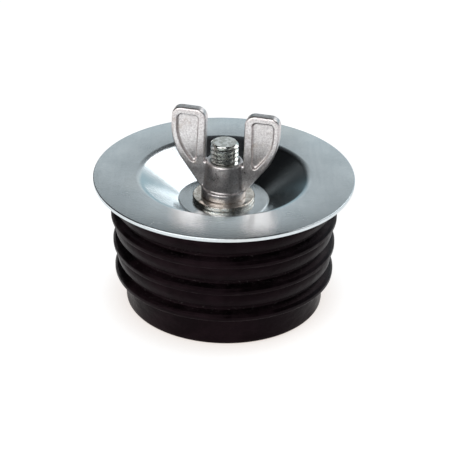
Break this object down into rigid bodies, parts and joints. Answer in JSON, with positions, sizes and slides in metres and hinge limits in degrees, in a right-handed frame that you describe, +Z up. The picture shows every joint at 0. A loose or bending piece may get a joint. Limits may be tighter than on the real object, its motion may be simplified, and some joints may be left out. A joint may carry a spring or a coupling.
{
  "type": "pipe expansion plug",
  "caption": "Expansion plug for a pipe end: a ribbed rubber ring squeezed between dished steel plates by a bolt and a wing nut.",
  "frame": {"origin": "centre of the rubber ring's bottom face, which the plug stands on", "axes": "+Z up along the bolt towards the wing nut, X across the plug in the picture, Y away from the camera"},
  "size_m": [0.0888, 0.0888, 0.0715],
  "materials": {
    "plated_sheet": "zinc plated, satin",
    "black_rubber": "moulded, semi-matte",
    "plated_bolt": "zinc plated, bright",
    "plated_washer": "zinc plated, bright",
    "cast_zinc": "die cast, fine grain"
  },
  "bodies": {
    "seal": {"top_plate": "plated_sheet", "rubber_ring": "black_rubber", "flat_washer": "plated_washer"},
    "drawbolt": {"carriage_bolt": "plated_bolt", "bottom_plate": "plated_sheet"},
    "nut": {"wing_nut": "cast_zinc"}
  },
  "joints": [
    {"name": "nut_turn", "type": "hinge", "parent": "seal", "child": "nut", "pos_m": [0, 0, 0.03915], "axis": [0, 0, -1], "range_deg": [0, 1440]},
    {"name": "bolt_draw", "type": "slide", "parent": "seal", "child": "drawbolt", "axis": [0, 0, 1], "range_m": [0, 0.00635], "deforming": ["rubber_ring"]}
  ],
  "couplings": [
    {"joint": "nut_turn", "follows": "bolt_draw", "rad_per_m": 3957.9}
  ]
}
